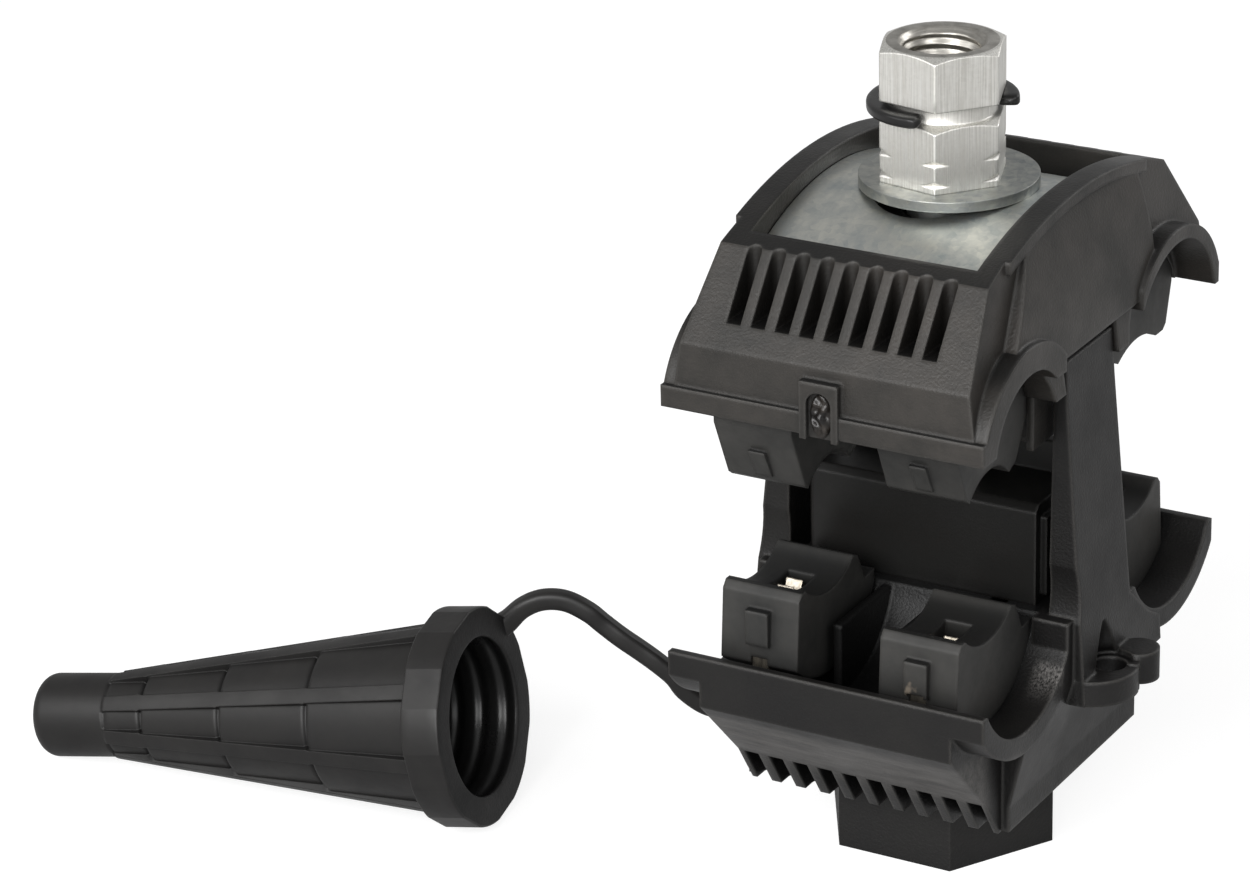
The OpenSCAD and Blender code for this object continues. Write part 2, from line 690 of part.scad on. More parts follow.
// "brim" and "chin" are how far the face stands from the cable axis at the lip and at the horn
module upper_seal(side, y, face, horn, brim, chin, groove_r, groove_rise) {
    low = horn + 0.6;
    tab_z = horn + 4.6;
    at_z = function (z) chin + (brim - chin) * (z - low) / (upper_lip_z - low);
    color("#333334") translate([0, 0, -lift(side)]) difference() {
        intersection() {
            rod_x(pocket_r - nest_gap, shell_w, y, pocket_z);
            blade(side) union() {
                along_x(seal_w, [
                    [y + face * brim, pocket_top], [y + face * brim, upper_lip_z],
                    [y + face * chin, low], [y + face * (chin - 0.8), horn],
                    [y - face * 4.6, horn], [y - face * 6.4, horn + 0.8],
                    [y - face * 9.2, upper_lip_z - 2], [y - face * 9.2, pocket_top]]);
                along_x(tab_w[1], [
                    [y + face * (at_z(tab_z) + 0.6), tab_z], [y + face * (at_z(low) + 0.6), low + 0.6],
                    [y + face * (at_z(low) - 0.6), low + 0.6], [y + face * (at_z(tab_z) - 0.6), tab_z]]);
            }
        }
        rod_x(groove_r, shell_w + 2, y, horn + groove_rise - groove_r);
        bar_cut(side, y - face * 14, y + face * 6.3, upper_bar_z - bar_h - nest_gap, pocket_top + 1);
        tooth_cut(side, y, face, horn - 1, upper_bar_z - bar_h + 0.5);
    }
}

// End cap, tether and button
module cap_place() {
    translate([cap_x, cap_y, cap_z]) rotate([0, 90 + cap_tilt, cap_turn]) children();
}

function cap_r(t) = cap_root_r - cap_slope * (t - cap_flange_t);

// Each stretch of the taper ends in a small step down to the next one
module end_cap() {
    t = concat([cap_flange_t], cap_steps, [cap_taper_len]);
    stretches = [for (i = [0 : len(t) - 2]) each
        [[cap_r(t[i]) - (i == 0 ? 0 : cap_step_h), t[i]], [cap_r(t[i + 1]) + (i == 0 ? 0 : 0.1), t[i + 1]]]];
    color("#303031") {
        cap_place() {
            intersection() {
                difference() {
                    rotate_extrude() polygon(concat(
                        [[0, cap_bore_len], [cap_tip_r - 1.6, cap_bore_len],
                         [cap_mouth_r - 1.2, cap_mouth_len], [cap_mouth_r, cap_mouth_len],
                         [cap_mouth_r, 0.6], [cap_mouth_r + 0.6, 0],
                         [cap_flange_r - 0.4, 0], [cap_flange_r, 0.4], [cap_flange_r, cap_flange_t]],
                        stretches,
                        [[cap_tip_r, cap_len - cap_tip_flat - 0.6], [cap_tip_r - 0.5, cap_len - 0.7],
                         [cap_tip_r - 1.6, cap_len], [0, cap_len]]));
                }
                rotate([0, 0, 22.5 + cap_roll]) cylinder(r = cap_flat_r / cos(22.5), h = cap_len, $fn = 8);
            }
            for (i = [0 : 7]) rotate([0, 0, 45 * i + cap_roll]) rotate([90, 0, 0])
                linear_extrude(height = 1.7, center = true) polygon([
                    [cap_root_r - 1, cap_flange_t - 1], [cap_root_r + 0.4, cap_flange_t - 1],
                    [cap_tip_r + 0.4, cap_taper_len], [cap_tip_r, cap_taper_len + 2.4],
                    [cap_tip_r - 0.6, cap_taper_len + 2.4]]);
        }
        tether_root();
    }
}

// The thick root of the tether on the cap's flange
module tether_root() {
    start = tether_route[0];
    axis = tether_out / norm(tether_out);
    translate(start - 3.4 * axis) rotate([0, acos(axis[2]), atan2(axis[1], axis[0])])
        cylinder(d1 = tether_d + 1.6, d2 = tether_d + 0.2, h = 3.4, $fn = 32);
}

function unit(v) = v / norm(v);
function route_dir(p, i) = i == 0 ? unit(tether_out)
    : i == len(p) - 1 ? [0, 0, 1]
    : unit(unit(p[i + 1] - p[i]) + unit(p[i] - p[i - 1]));
function ring_at(p, i, r, n) =
    let (t = route_dir(p, i), side = unit(cross(t, [-0.54, 0.84, 0])), up = cross(side, t))
    [for (k = [0 : n - 1]) p[i] + r * (cos(360 * k / n) * side + sin(360 * k / n) * up)];

module cap_tether() {
    n = tether_sides;
    last = len(tether_route) - 1;
    points = [for (i = [0 : last]) each ring_at(tether_route, i, tether_d / 2, n)];
    walls = [for (i = [0 : last - 1], k = [0 : n - 1])
        [i * n + k, i * n + (k + 1) % n, (i + 1) * n + (k + 1) % n, (i + 1) * n + k]];
    ends = [[for (k = [n - 1 : -1 : 0]) k], [for (k = [0 : n - 1]) last * n + k]];
    color("#2d2d2e") polyhedron(points = points, faces = concat(walls, ends));
}

module tether_button() {
    tip = tether_route[len(tether_route) - 1];
    color("#2d2d2e") translate([tip[0], tip[1], lug_z + lug_h])
        rotate_extrude() polygon([[0, 0], [niche_r - 0.9, 0], [niche_r - 0.9, 1.2], [1, 2.6], [0, 2.6]]);
}

lower_shell();
upper_shell();
bolt_head_cover();
clamp_bolt();
bolt_shroud();
pressure_plate();
flat_washer();
shear_nut();
marker_ring();
lower_blade(-1);  // blade_lower_left
lower_blade(1);  // blade_lower_right
upper_blade(-1);  // blade_upper_left
upper_blade(1);  // blade_upper_right
lower_seal(-1, tap_y, -1);  // seal_lower_front_left
lower_seal(1, tap_y, -1);  // seal_lower_front_right
lower_seal(-1, main_y, 1);  // seal_lower_back_left
lower_seal(1, main_y, 1);  // seal_lower_back_right
upper_seal(-1, tap_y, -1, tap_horn_z, 8.7, 5.6, 6.5, 2.2);  // seal_upper_front_left
upper_seal(1, tap_y, -1, tap_horn_z, 8.7, 5.6, 6.5, 2.2);  // seal_upper_front_right
upper_seal(-1, main_y, 1, main_horn_z, 9.4, 8, 10, 1.5);  // seal_upper_back_left
upper_seal(1, main_y, 1, main_horn_z, 9.4, 8, 10, 1.5);  // seal_upper_back_right
end_cap();
cap_tether();
tether_button();
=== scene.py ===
import math

import bpy
import numpy as np
from mathutils import Matrix, Vector


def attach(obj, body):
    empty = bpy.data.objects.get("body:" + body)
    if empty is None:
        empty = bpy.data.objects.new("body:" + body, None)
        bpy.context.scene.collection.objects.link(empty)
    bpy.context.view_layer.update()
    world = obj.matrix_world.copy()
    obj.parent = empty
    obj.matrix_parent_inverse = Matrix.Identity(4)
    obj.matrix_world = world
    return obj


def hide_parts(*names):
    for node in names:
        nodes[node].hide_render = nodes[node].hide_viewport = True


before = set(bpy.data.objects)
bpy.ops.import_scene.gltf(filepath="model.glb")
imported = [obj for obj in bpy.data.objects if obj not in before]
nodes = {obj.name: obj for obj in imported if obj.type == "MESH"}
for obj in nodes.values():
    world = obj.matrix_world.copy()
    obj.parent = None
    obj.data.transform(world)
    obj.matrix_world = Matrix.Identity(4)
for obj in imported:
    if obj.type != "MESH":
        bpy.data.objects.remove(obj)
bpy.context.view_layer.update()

# The camera
# A long lens looks down on the connector from its front right corner. Its place, turn and roll
# were worked out from the nut, the lips and the shells, with no shift.
azimuth, elevation, roll = np.radians([30.54, 22.995, -1.513])
aim_left, aim_height, distance = 0.035547, 0.04715, 0.547822
focal_px, picture_width_px = 4885.916, 1251.0
back = np.array([math.sin(azimuth) * math.cos(elevation), -math.cos(azimuth) * math.cos(elevation),
                 math.sin(elevation)])
level = np.array([math.cos(azimuth), math.sin(azimuth), 0.0])
steep = np.cross(back, level)
right = math.cos(roll) * level + math.sin(roll) * steep
up = -math.sin(roll) * level + math.cos(roll) * steep
place = np.array([-aim_left * right[0], -aim_left * right[1], aim_height]) + distance * back
lens = bpy.data.cameras.new("camera")
lens.sensor_width = 36.0
lens.lens = lens.sensor_width * focal_px / picture_width_px
lens.clip_start = 0.05
lens.clip_end = 20.0
camera = bpy.data.objects.new("camera", lens)
bpy.context.scene.collection.objects.link(camera)
camera.matrix_world = Matrix.Translation(place) @ Matrix((right, up, back)).transposed().to_4x4()
bpy.context.scene.camera = camera

# The tether
# A strap of soft black plastic, moulded in one with the end cap. It springs from the cap's flange
# in a small arch, sags behind the spout and comes up through the left lug, where a button holds it.
mm = 0.001


def linear(hex_colour):
    """Linear colour from an sRGB hex value: each channel is divided by 12.92 where it is dark, and
    else shifted, scaled and raised to the power 2.4."""
    c = np.array([int(hex_colour[i:i + 2], 16) for i in (1, 3, 5)]) / 255.0
    low = c / 12.92
    high = ((c + 0.055) / 1.055) ** 2.4
    return (*np.where(c <= 0.04045, low, high), 1.0)


def add_node(tree, kind, settings=None, **links):
    """Adds one node. A setting names a property or an input's value, a link joins an input, and
    inputs without a name of their own go by number: "7" as a setting, i7 as a link."""
    node = tree.nodes.new(kind)
    for key, value in (settings or {}).items():
        if hasattr(node, key):
            setattr(node, key, value)
        else:
            node.inputs[int(key) if key.isdigit() else key].default_value = value
    for key, source in links.items():
        numbered = key[0] == "i" and key[1:].isdigit()
        tree.links.new(source, node.inputs[int(key[1:]) if numbered else key])
    return node


def new_material(name):
    """An empty material and its node tree."""
    material = bpy.data.materials.new(name)
    material.use_nodes = True
    material.node_tree.nodes.clear()
    return material, material.node_tree


def dress(obj, material):
    """Makes the material the object's only one."""
    obj.data.materials.clear()
    obj.data.materials.append(material)


def surface_mesh(name, points, closed_rows=False):
    """A grid of points in metres, rows by columns, becomes quads. The columns close on themselves;
    the rows do so too, or else the first and the last row are each closed by one flat face."""
    rows, cols = points.shape[:2]
    row, col = np.meshgrid(np.arange(rows if closed_rows else rows - 1), np.arange(cols), indexing="ij")
    next_row, next_col = (row + 1) % rows, (col + 1) % cols
    corners = [row * cols + col, row * cols + next_col, next_row * cols + next_col, next_row * cols + col]
    faces = np.stack(corners, -1).reshape(-1, 4).tolist()
    if not closed_rows:
        loop = np.arange(cols)
        faces += [loop[::-1].tolist(), (loop + (rows - 1) * cols).tolist()]
    mesh = bpy.data.meshes.new(name)
    mesh.from_pydata(points.reshape(-1, 3).tolist(), [], faces)
    mesh.polygons.foreach_set("use_smooth", np.ones(len(faces), bool))
    mesh.update()
    obj = bpy.data.objects.new(name, mesh)
    bpy.context.scene.collection.objects.link(obj)
    return obj


def spline(points, count):
    """A smooth curve through the points: each stretch between two of them is a cubic, and its tangent
    at a point is half the way from the point before to the point after."""
    p = np.vstack([2 * points[0] - points[1], points, 2 * points[-1] - points[-2]])
    t = np.linspace(0, len(points) - 1 - 1e-9, count)
    k = t.astype(int)
    f = (t - k)[:, None]
    a, b, c, d = p[k], p[k + 1], p[k + 2], p[k + 3]
    return 0.5 * (2 * b + (c - a) * f + (2 * a - 5 * b + 4 * c - d) * f ** 2
                  + (3 * b - a - 3 * c + d) * f ** 3)


def rounded_square(turn, power):
    """Radius of a superellipse of half width one: the powers of its two coordinates add up to one,
    and a higher power makes it squarer."""
    return (np.abs(np.cos(turn)) ** power + np.abs(np.sin(turn)) ** power) ** (-1.0 / power)


def moulded(name, dark, light, rough, grain, depth, edge, rub):
    """Moulded plastic, with sizes in millimetres. Noise over a centimetre drifts between two tones and two
    degrees of gloss, noise of the grain's size lifts the surface by depth, and the bevel shader rounds the
    normals within edge of a sharp corner. There the surface is also rubbed paler, by the share rub, and
    creases that lie within 4 mm of other walls are darkened by ambient occlusion, which is painted shade."""
    material, tree = new_material(name)
    spot = add_node(tree, "ShaderNodeTexCoord").outputs["Object"]
    cloud = add_node(tree, "ShaderNodeTexNoise",
                     {"Scale": 1.0 / (11.11 * mm), "Detail": 5.0, "Roughness": 0.65}, Vector=spot)
    spread = add_node(tree, "ShaderNodeMapRange", {"From Min": 0.35, "From Max": 0.65},
                      Value=cloud.outputs["Fac"])
    tone = add_node(tree, "ShaderNodeMix", {"data_type": "RGBA", "6": linear(dark), "7": linear(light)},
                    i0=spread.outputs[0])
    gloss = add_node(tree, "ShaderNodeMapRange", {"To Min": rough + 0.06, "To Max": rough - 0.06},
                     Value=spread.outputs[0])
    round_edge = add_node(tree, "ShaderNodeBevel", {"samples": 6, "Radius": edge * mm})
    bare = add_node(tree, "ShaderNodeNewGeometry")
    bent = add_node(tree, "ShaderNodeVectorMath", {"operation": "DOT_PRODUCT"},
                    i0=round_edge.outputs[0], i1=bare.outputs["Normal"])
    rubbed = add_node(tree, "ShaderNodeMapRange", {"From Min": 0.97, "From Max": 0.75, "To Max": rub},
                      Value=bent.outputs["Value"])
    worn = add_node(tree, "ShaderNodeMix", {"data_type": "RGBA", "7": linear("#5a5855")},
                    i0=rubbed.outputs[0], i6=tone.outputs[2])
    # Painted shade: ambient occlusion darkens the colour in creases and corners.
    occlusion = add_node(tree, "ShaderNodeAmbientOcclusion", {"samples": 8, "Distance": 4.0 * mm})
    painted_crease_shade = add_node(tree, "ShaderNodeMapRange", {"From Min": 0.35, "From Max": 0.92, "To Min": 0.3},
                     Value=occlusion.outputs["AO"])
    worn_and_shaded = add_node(tree, "ShaderNodeMix", {"data_type": "RGBA", "blend_type": "MULTIPLY", "0": 1.0},
                      i6=worn.outputs[2], i7=painted_crease_shade.outputs[0])
    specks = add_node(tree, "ShaderNodeTexNoise", {"Scale": 1.0 / (grain * mm), "Detail": 2.0}, Vector=spot)
    lifted = add_node(tree, "ShaderNodeBump", {"Strength": 1.0, "Distance": depth * mm},
                      Height=specks.outputs["Fac"], Normal=round_edge.outputs[0])
    shader = add_node(tree, "ShaderNodeBsdfPrincipled", {"Specular IOR Level": 0.32}, **{
        "Base Color": worn_and_shaded.outputs[2], "Roughness": gloss.outputs[0], "Normal": lifted.outputs[0]})
    add_node(tree, "ShaderNodeOutputMaterial", Surface=shader.outputs[0])
    return material, tree, shader


tether_d = 2.5 * mm
strap_half_width = 0.46 * tether_d
route = mm * np.array([
    [-49, -14.9, 20.5], [-47.3, -14.1, 22.3], [-45.2, -13.1, 23.3], [-42.8, -12, 23.2],
    [-40.4, -11, 21.9], [-38.9, -10.1, 20.3], [-37, -9.4, 18.7], [-35, -8.4, 17],
    [-33.3, -7.7, 15.6], [-31.6, -6.8, 13.8], [-30.5, -6, 11.8], [-28.5, -4.7, 9.9],
    [-26.3, -3.4, 9.3], [-24.1, -2.2, 9.9], [-22.4, -1.3, 11.5], [-21.4, -0.7, 13.9],
    [-21.2, -0.6, 16.3], [-21.2, -0.6, 19], [-21.2, -0.6, 21.6], [-21.2, -0.6, 24.2]])
line = spline(route, 200)
# The strap is a rounded square carried along its line, with one side kept towards the flange's
# face. It starts a little inside the flange, where it flares by a fifth.
root = mm * np.array([[-50.3, -15.7, 19.3], [-49.8, -15.3, 19.8]])
flange_side = [-0.54, 0.84, 0.0]
flare_share, flare_length = 0.2, 2.4 * mm
strap = np.vstack([root, line])
ahead = np.gradient(strap, axis=0)
ahead /= np.linalg.norm(ahead, axis=1)[:, None]
across = np.cross(ahead, flange_side)
across /= np.linalg.norm(across, axis=1)[:, None]
upward = np.cross(across, ahead)
gone = np.concatenate([[0.0], np.cumsum(np.linalg.norm(np.diff(strap, axis=0), axis=1))])
flare = 1.0 + flare_share * np.exp(-(gone / flare_length) ** 2)
strap_turn = np.linspace(2 * np.pi, 0, 28, endpoint=False)
reach = strap_half_width * flare[:, None, None] * rounded_square(strap_turn, power=3.5)[:, None]
tube = strap[:, None] + reach * (np.cos(strap_turn)[:, None] * across[:, None]
                                 + np.sin(strap_turn)[:, None] * upward[:, None])
tether = surface_mesh("tether", tube)
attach(tether, "lower_half")
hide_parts("cap_tether")

# Soft plastic: smooth, satin and a shade paler than the boss, with a faint orange peel.
soft_plastic, _, _ = moulded("soft_pvc", "#141313", "#1f1e1d", rough=0.46, grain=0.9, depth=0.012,
                             edge=0.2, rub=0.1)
dress(tether, soft_plastic)
dress(nodes["tether_button"], soft_plastic)

# The end cap
# A tapered sleeve of the same soft plastic that closes the tap cable's cut end. Eight ribs run down
# it, the stretches between them step in towards the tip, and the flange has a flat at each rib.

# Sizes are in millimetres. The cap lies on its flange, where the axis is the rest radius up, and on
# its tip, and that gives its tilt. A pole is closed by a tiny flat.
cap_length, cap_flange, cap_taper_end, cap_tip_round = 57.6, 4.7, 47.6, 1.8
cap_root_r, cap_tip_r, cap_mouth_r = 11.2, 5.0, 9.2
cap_flat_r, cap_corner_r, cap_crest_r, cap_pad_r = 12.52, 12.74, 11.45, 10.9
cap_steps = np.array([18.7, 31.0, 42.2])
pad_proud, pad_drop, pad_round = 0.3, 0.5, 0.7
groove_depth, groove_after, groove_spread = 0.35, 0.15, 0.3
rim_edge, half_rib_width, core_ring_pitch, core_ring_depth = 0.25, 0.85, 3.1, 0.42
pole_r = 0.02
cap_rest_r, cap_tip_flat = 12.664, 1.6
cap_fall = (cap_root_r - cap_tip_r) / (cap_taper_end - cap_flange)
cap_heading = math.radians(188.8)
cap_tilt = math.atan((cap_rest_r - cap_tip_r) / (cap_length - cap_tip_flat - cap_flange))
rib_turn = math.radians(-6.0)
cap_mouth = np.array([-46.2, -25.1, cap_rest_r * math.cos(cap_tilt) + cap_flange * math.sin(cap_tilt)])
cap_out = np.array([math.cos(cap_heading), math.sin(cap_heading), 0.0])
upright = np.array([0.0, 0.0, 1.0])
cap_along = math.cos(cap_tilt) * cap_out - math.sin(cap_tilt) * upright
cap_down = -math.sin(cap_tilt) * cap_out - math.cos(cap_tilt) * upright
cap_side = np.cross(upright, cap_out)


def cap_pads(t):
    """Radius of the pads between the ribs. The mean falls evenly from the flange; each pad falls less
    steeply, so that it stands proud at its end, and there a quarter ellipse drops into a groove, a
    bell curve, before the next pad."""
    edges = np.concatenate([[cap_flange], cap_steps, [cap_taper_end]])
    k = np.clip(np.searchsorted(edges, t, side="right") - 1, 0, len(cap_steps))
    f = (t - edges[k]) / (edges[k + 1] - edges[k])
    last = np.clip((t - edges[k + 1] + pad_round) / pad_round, 0.0, 1.0)
    drop = pad_drop * (1.0 - np.sqrt(1.0 - last ** 2))
    groove = groove_depth * np.exp(-((t[:, None] - cap_steps - groove_after) / groove_spread) ** 2).sum(1)
    return cap_pad_r - cap_fall * (t - cap_flange) + pad_proud * (2.0 * f - 1.0) - drop - groove


# Each row of the surface is a distance from the mouth and a radius, from the core's floor out over
# the flange and down the taper to the tip. On the rim the radius is counted from its flats.
quarter = np.linspace(0, math.pi / 2, 5)
core_t = np.linspace(11.6, 0.6, 74)
core_wave = 0.5 - 0.5 * np.cos(2 * math.pi * core_t / core_ring_pitch)
inside = np.vstack([
    [(38.0, pole_r), (38.0, 4.0), (30.0, 6.0), (14.0, 8.0), (12.4, 8.1), (12.0, 8.8)],
    np.column_stack([core_t, cap_mouth_r + core_ring_depth * core_wave ** 2]),
    [(0.3, 9.24), (0.1, 9.34), (0.02, 9.5)]])
face = np.array([(0.0, 9.65), (0.0, 10.6), (0.0, 11.6)])
rim = np.vstack([
    np.column_stack([rim_edge - rim_edge * np.cos(quarter), rim_edge * np.sin(quarter) - rim_edge]),
    [(1.4, 0.0), (2.5, 0.0), (3.6, 0.0)],
    np.column_stack([cap_flange - rim_edge + rim_edge * np.sin(quarter),
                     rim_edge * np.cos(quarter) - rim_edge]),
    [(4.72, -0.9)]])
# Rows stand close together at each step, where a pad rounds off into its groove.
near_step = np.array([0.75, 0.6, 0.45, 0.3, 0.2, 0.12, 0.06, 0.02, -0.02, -0.15, -0.3, -0.45, -0.6, -0.8])
step_rows = np.subtract.outer(cap_steps, near_step).ravel()
taper_t = np.unique(np.concatenate([np.linspace(4.76, 47.5, 120), step_rows]))
tip_turn = np.linspace(0.1, math.pi / 2, 12)
tip_start = cap_length - cap_tip_round
end = np.vstack([
    [(t, cap_tip_r) for t in (47.62, 47.9, 51.0, tip_start)],
    np.column_stack([tip_start + cap_tip_round * np.sin(tip_turn),
                     cap_tip_r - cap_tip_round + cap_tip_round * np.cos(tip_turn)]),
    [(cap_length, r) for r in (2.4, 1.2, pole_r)]])
profile = np.vstack([inside, face, rim, np.column_stack([taper_t, cap_pads(taper_t)]), end])
along, radius = profile.T
first_rim = len(inside) + len(face)
first_taper = first_rim + len(rim)
row_number = np.arange(len(along))
on_rim = (row_number >= first_rim) & (row_number < first_taper)
ribbed = (row_number >= first_taper) & (row_number < first_taper + len(taper_t))
# Sixteen columns for each eighth of a turn: seven over the flat or the rib, of which the outer two
# are the rib's feet, and nine between.
eighth = math.pi / 4
half_flat = math.acos(cap_flat_r / cap_corner_r)
half_rib = half_rib_width / np.maximum(radius, 3.0)
flat_columns = np.array([-1.0, -0.62, -0.3, 0.0, 0.3, 0.62, 1.0])
rib_columns = np.array([-1.09, -1.0, -0.5, 0.0, 0.5, 1.0, 1.09])
over = np.where(ribbed[:, None], half_rib[:, None] * rib_columns, half_flat * flat_columns)
between = over[:, -1:] + np.linspace(0, 1, 11)[1:-1] * (eighth - 2 * over[:, -1:])
sector = np.hstack([over, between])
on_rib = np.isin(np.arange(16), (1, 2, 3, 4, 5))
from_flat = np.minimum(np.abs(sector), eighth - np.abs(sector))
flat_radius = cap_flat_r / np.cos(np.minimum(from_flat, half_flat))
crest = cap_crest_r - cap_fall * (along - cap_flange)
radii = radius[:, None] + np.where(on_rim[:, None], flat_radius, 0.0)
radii = np.where(ribbed[:, None] & on_rib, np.maximum(crest[:, None], radii), radii)
radii = np.tile(radii, (1, 8))[:, :, None]
turns = sector[:, None, :] + eighth * np.arange(8)[:, None] + rib_turn
turns = turns.reshape(len(along), 128, 1)
sleeve = cap_mouth + along[:, None, None] * cap_along
sleeve = sleeve + radii * (np.cos(turns) * cap_down + np.sin(turns) * cap_side)
cap = surface_mesh("cable_end_cap", sleeve * mm)
# The edges of the flats and of the ribs stay crisp.
ends = np.empty(2 * len(cap.data.edges), int)
cap.data.edges.foreach_get("vertices", ends)
edge_row, edge_column = np.divmod(ends.reshape(-1, 2), 128)
edge_column = edge_column % 16
lengthwise = (edge_row[:, 0] != edge_row[:, 1]) & (edge_column[:, 0] == edge_column[:, 1])
flat_edge = np.isin(edge_column[:, 0], (0, 6)) & on_rim[edge_row].all(1)
rib_edge = np.isin(edge_column[:, 0], (0, 1, 5, 6)) & ribbed[edge_row].all(1)
crisp = cap.data.attributes.new("sharp_edge", "BOOLEAN", "EDGE")
crisp.data.foreach_set("value", lengthwise & (flat_edge | rib_edge))
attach(cap, "lower_half")
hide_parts("end_cap")
dress(cap, soft_plastic)
# The same plastic left dull by the mould's parting face, on the flange's front ring: matt and grainy.
dull_plastic, _, _ = moulded("dull_soft_pvc", "#121212", "#1b1a1a", rough=0.62, grain=0.35, depth=0.04,
                             edge=0.2, rub=0.1)
cap.data.materials.append(dull_plastic)
# And left smooth by the mould's polished core, in the sleeve: glossy, with bright lines on the rings, and
# blacker, which is painted shade inside the mouth.
core_plastic_painted_shade, _, _ = moulded("soft_pvc_core_painted_shade", "#0f0f0f", "#181818", rough=0.32, grain=0.9, depth=0.01,
                             edge=0.1, rub=0.05)
cap.data.materials.append(core_plastic_painted_shade)
outer_side, front_ring, shaded_core = 0, 1, 2
face_row = np.repeat(row_number[:-1], 128)
finish_of = np.where(face_row < first_rim, front_ring, outer_side)
finish_of = np.where(face_row < len(inside) - 3, shaded_core, finish_of)
finish_of = np.append(finish_of, [shaded_core, outer_side])
cap.data.polygons.foreach_set("material_index", finish_of.astype(np.int32))

# The bolt head's cover
# A hexagonal boss that insulates the bolt's head. Coarsely spark-eroded in the mould, it is the
# grainiest and dullest of the mouldings, and the connector stands on its flat end.

# Grained nylon: near black, matt, with grains a third of a millimetre across.
grained_nylon, _, _ = moulded("grained_nylon", "#0e0d0d", "#171615", rough=0.55, grain=0.34, depth=0.07,
                              edge=0.5, rub=0.2)
dress(nodes["bolt_head_cover"], grained_nylon)


# The shells
# Two halves of glass-filled nylon from one mould family. The columns of the lower one guide the
# upper one, and the spouts, arches and ribbed slopes are all part of the same mouldings.
def lay_over(tree, shader, colour, share):
    """Covers the finish with a colour: a straight mix of the base colour and it, by the share."""
    base = shader.inputs["Base Color"]
    mixed = add_node(tree, "ShaderNodeMix", {"data_type": "RGBA", "7": linear(colour)},
                     i0=share, i6=base.links[0].from_socket)
    tree.links.new(mixed.outputs[2], base)


def paint_shade_on_tops(tree, shader):
    """Faces that look straight up get painted shade, darker as if little light fell on them from above: the
    share of black rises smoothly with the upward part of the normal, from 0.72 to 0.9."""
    facing = add_node(tree, "ShaderNodeNewGeometry")
    tilt = add_node(tree, "ShaderNodeSeparateXYZ", Vector=facing.outputs["Normal"])
    share = add_node(tree, "ShaderNodeMapRange", {"interpolation_type": "SMOOTHSTEP", "From Min": 0.72,
                                                  "From Max": 0.9, "To Max": 0.8}, Value=tilt.outputs[2])
    lay_over(tree, shader, "#080808", share.outputs[0])


def zone(tree, sides, share=None):
    """How much of a mark is found at a spot: its share, or one, times a smooth step for each side of
    the zone. A step climbs along one coordinate between two places, given in millimetres."""
    for coordinate, none_at, all_at in sides:
        step = add_node(tree, "ShaderNodeMapRange", {"interpolation_type": "SMOOTHSTEP",
                                                     "From Min": none_at * mm, "From Max": all_at * mm},
                        Value=coordinate).outputs[0]
        if share is not None:
            step = add_node(tree, "ShaderNodeMath", {"operation": "MULTIPLY"}, i0=share, i1=step).outputs[0]
        share = step
    return share


# Glass-filled nylon: charcoal with a faint brown cast, satin, finely grained, its edges rubbed.
glass_nylon, tree, shader = moulded("glass_filled_nylon", "#232220", "#373431", rough=0.4, grain=0.3,
                                    depth=0.04, edge=0.7, rub=0.5)
# Painted shade: faces that look up are darkened.
paint_shade_on_tops(tree, shader)
dress(nodes["upper_shell"], glass_nylon)

# The same nylon unhandled: the block round the bolt is smoother and deeper black.
clean_nylon, _, _ = moulded("clean_glass_filled_nylon", "#0f0f0e", "#181716", rough=0.4, grain=0.22,
                            depth=0.01, edge=0.5, rub=0.2)
dress(nodes["bolt_shroud"], clean_nylon)

# The same nylon with dust: pale streaks along the lower shell's front slope, where hands hold it.
dusty_nylon, tree, shader = moulded("dusty_glass_filled_nylon", "#0e0d0d", "#191817", rough=0.42, grain=0.3,
                                    depth=0.04, edge=0.7, rub=0.5)
spot = add_node(tree, "ShaderNodeTexCoord").outputs["Object"]
lengthways, depthways, height = add_node(tree, "ShaderNodeSeparateXYZ", Vector=spot).outputs
streak_sizes = mm * np.array([6.25, 1.111, 1.111])
drawn = add_node(tree, "ShaderNodeMapping", {"Scale": tuple(1.0 / streak_sizes)}, Vector=spot)
streaks = add_node(tree, "ShaderNodeTexNoise", {"Scale": 1.0, "Detail": 6.0, "Roughness": 0.7},
                   Vector=drawn.outputs[0])
dust = add_node(tree, "ShaderNodeMapRange",
                {"From Min": 0.38, "From Max": 0.72, "To Min": 0.16, "To Max": 0.6},
                Value=streaks.outputs["Fac"])
front_slope = [(depthways, -18.5, -21.5), (height, 22.2, 20.5)]
lay_over(tree, shader, "#6f6c69", zone(tree, front_slope, dust.outputs[0]))
# The front spouts are scuffed by cables: fine bright scratches along the groove's curve.
sideways = add_node(tree, "ShaderNodeMath", {"operation": "ABSOLUTE"}, i0=lengthways).outputs[0]
scratch_sizes = mm * np.array([0.1667, 0.25, 0.6667])
scored = add_node(tree, "ShaderNodeMapping", {"Scale": tuple(1.0 / scratch_sizes)}, Vector=spot)
scratches = add_node(tree, "ShaderNodeTexNoise", {"Scale": 1.0, "Detail": 3.0}, Vector=scored.outputs[0])
scuff = add_node(tree, "ShaderNodeMapRange", {"From Min": 0.35, "From Max": 0.7, "To Max": 0.62},
                 Value=scratches.outputs["Fac"])
spout_wall = [(sideways, 15.5, 17.2), (depthways, -16.5, -12.0), (depthways, -8.5, -9.5),
              (height, 23.5, 27.0)]
lay_over(tree, shader, "#8a8784", zone(tree, spout_wall, scuff.outputs[0]))
# Painted shade: inside the front trough the colour is laid over with near black.
trough_painted_shade = [(sideways, 15.2, 14.6), (depthways, -27.2, -26.2), (height, 22.2, 23.2)]
lay_over(tree, shader, "#070707", zone(tree, trough_painted_shade))
dress(nodes["lower_shell"], dusty_nylon)

